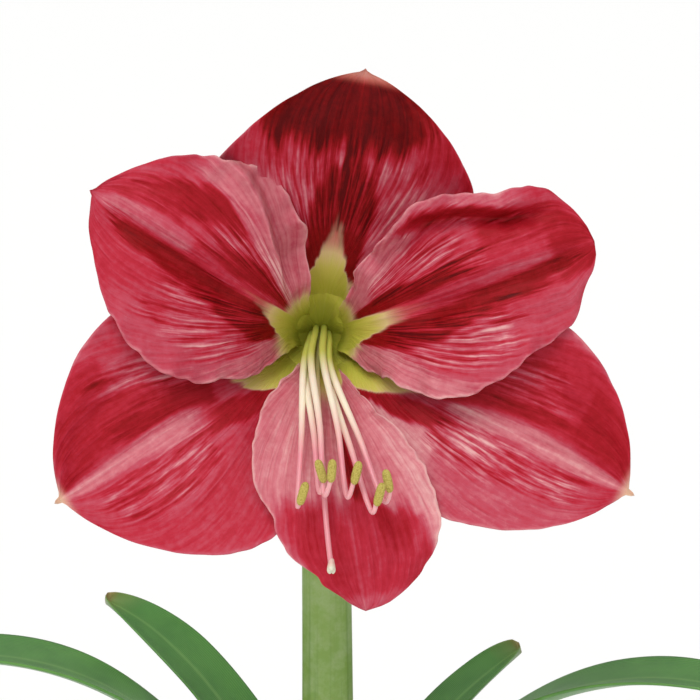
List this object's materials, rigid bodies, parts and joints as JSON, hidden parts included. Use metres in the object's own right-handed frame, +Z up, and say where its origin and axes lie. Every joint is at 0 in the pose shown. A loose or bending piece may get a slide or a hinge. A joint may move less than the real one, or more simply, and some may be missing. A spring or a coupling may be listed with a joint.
{
  "type": "potted amaryllis",
  "caption": "Amaryllis bulb in a plain clay pot, with strap leaves and a tall scape that carries one open pink trumpet bloom and closed buds.",
  "frame": {"origin": "middle of the underside of the pot, on the surface that the pot stands on", "axes": "+Z up along the pot's axis; -Y the way that the open bloom faces; +X to the right as seen from in front of the bloom"},
  "size_m": [0.3901, 0.2511, 0.509],
  "materials": {
    "clay": "unglazed terracotta, matt and slightly dusty",
    "potting_soil": "crumbly dark peat with a few pale grains",
    "bulb_tunic": "dry papery brown scales",
    "stalk_green": "smooth living stalk with a waxy bloom",
    "leaf_green": "satin living leaf with fine parallel veins",
    "tepal_pink": "soft living petal, rose pink with crimson veins and a yellow-green star at the throat",
    "bud_pink": "closed petals, rose pink with a green flush",
    "stamen_pale": "pale pink filaments with yellow-green anthers",
    "style_pale": "pale pink style with a whitish stigma",
    "dry_spathe": "dry papery bract"
  },
  "bodies": {
    "root": {"pot": "clay", "soil": "potting_soil", "bulb": "bulb_tunic", "scape": "stalk_green", "leaf_left_outer": "leaf_green", "leaf_right_outer": "leaf_green", "leaf_left_inner": "leaf_green", "leaf_right_inner": "leaf_green", "tepal_outer_top": "tepal_pink", "tepal_outer_lower_left": "tepal_pink", "tepal_outer_lower_right": "tepal_pink", "tepal_inner_upper_left": "tepal_pink", "tepal_inner_upper_right": "tepal_pink", "tepal_inner_bottom": "tepal_pink", "perianth_tube": "stalk_green", "ovary": "stalk_green", "stamen_1": "stamen_pale", "stamen_2": "stamen_pale", "stamen_3": "stamen_pale", "stamen_4": "stamen_pale", "stamen_5": "stamen_pale", "stamen_6": "stamen_pale", "style": "style_pale", "pedicel_bloom": "stalk_green", "pedicel_bud_large": "stalk_green", "bud_large": "bud_pink", "pedicel_bud_small": "stalk_green", "bud_small": "bud_pink", "spathe_left": "dry_spathe", "spathe_right": "dry_spathe"}
  },
  "joints": []
}
